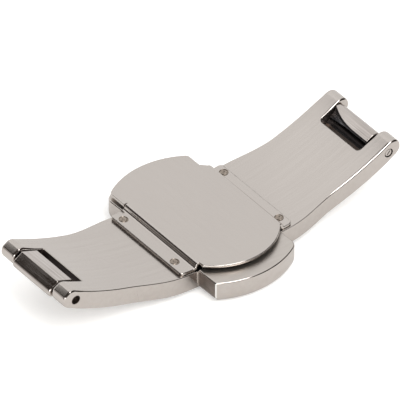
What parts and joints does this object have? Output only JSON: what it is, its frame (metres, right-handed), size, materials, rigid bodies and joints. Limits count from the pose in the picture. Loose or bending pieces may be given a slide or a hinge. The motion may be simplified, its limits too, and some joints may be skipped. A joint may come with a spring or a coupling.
{
  "type": "folding watch clasp",
  "caption": "Closed folding clasp for a watch bracelet: bowed base plate, thin inner plate, barrel-shaped outer cover and hinged wings with spring bars.",
  "frame": {"origin": "middle of the outer cover's flat outer face, on which the closed clasp lies", "axes": "+X along the strap, +Y across it away from the near side of the picture, +Z towards the wrist"},
  "size_m": [0.0484, 0.0232, 0.0076],
  "materials": {
    "brushed_steel": "stainless steel, brushed lengthwise on the wrist face, polished sides",
    "satin_steel": "stainless steel sheet, fine satin",
    "polished_steel": "polished stainless steel",
    "turned_steel": "turned stainless steel",
    "spring_steel": "bare spring steel"
  },
  "bodies": {
    "base": {"base_plate": "brushed_steel", "inner_plate": "satin_steel", "inner_plate_rivets": "turned_steel", "outer_cover": "polished_steel", "cover_screws": "turned_steel", "catch_spring": "spring_steel", "left_hinge_pin": "turned_steel", "right_hinge_pin": "turned_steel"},
    "left_wing": {"left_wing": "polished_steel", "left_spring_bar_tube": "turned_steel", "left_spring_bar_coil": "spring_steel"},
    "right_wing": {"right_wing": "polished_steel", "right_spring_bar_tube": "turned_steel", "right_spring_bar_coil": "spring_steel"},
    "left_near_tip": {"left_spring_bar_near_tip": "polished_steel"},
    "left_far_tip": {"left_spring_bar_far_tip": "polished_steel"},
    "right_near_tip": {"right_spring_bar_near_tip": "polished_steel"},
    "right_far_tip": {"right_spring_bar_far_tip": "polished_steel"}
  },
  "joints": [
    {"name": "left_wing_hinge", "type": "hinge", "parent": "base", "child": "left_wing", "pos_m": [-0.02235, 0, 0.00615], "axis": [0, 1, 0], "range_deg": [0, 170]},
    {"name": "right_wing_hinge", "type": "hinge", "parent": "base", "child": "right_wing", "pos_m": [0.02235, 0, 0.00615], "axis": [0, -1, 0], "range_deg": [0, 170]},
    {"name": "left_near_tip_slide", "type": "slide", "parent": "left_wing", "child": "left_near_tip", "axis": [0, 1, 0], "range_m": [0, 0.0008], "stiffness_N_per_m": 100, "springref_m": -0.0004, "deforming": ["left_spring_bar_coil"]},
    {"name": "left_far_tip_slide", "type": "slide", "parent": "left_wing", "child": "left_far_tip", "axis": [0, -1, 0], "range_m": [0, 0.0008], "stiffness_N_per_m": 100, "springref_m": -0.0004, "deforming": ["left_spring_bar_coil"]},
    {"name": "right_near_tip_slide", "type": "slide", "parent": "right_wing", "child": "right_near_tip", "axis": [0, 1, 0], "range_m": [0, 0.0008], "stiffness_N_per_m": 100, "springref_m": -0.0004, "deforming": ["right_spring_bar_coil"]},
    {"name": "right_far_tip_slide", "type": "slide", "parent": "right_wing", "child": "right_far_tip", "axis": [0, -1, 0], "range_m": [0, 0.0008], "stiffness_N_per_m": 100, "springref_m": -0.0004, "deforming": ["right_spring_bar_coil"]}
  ]
}
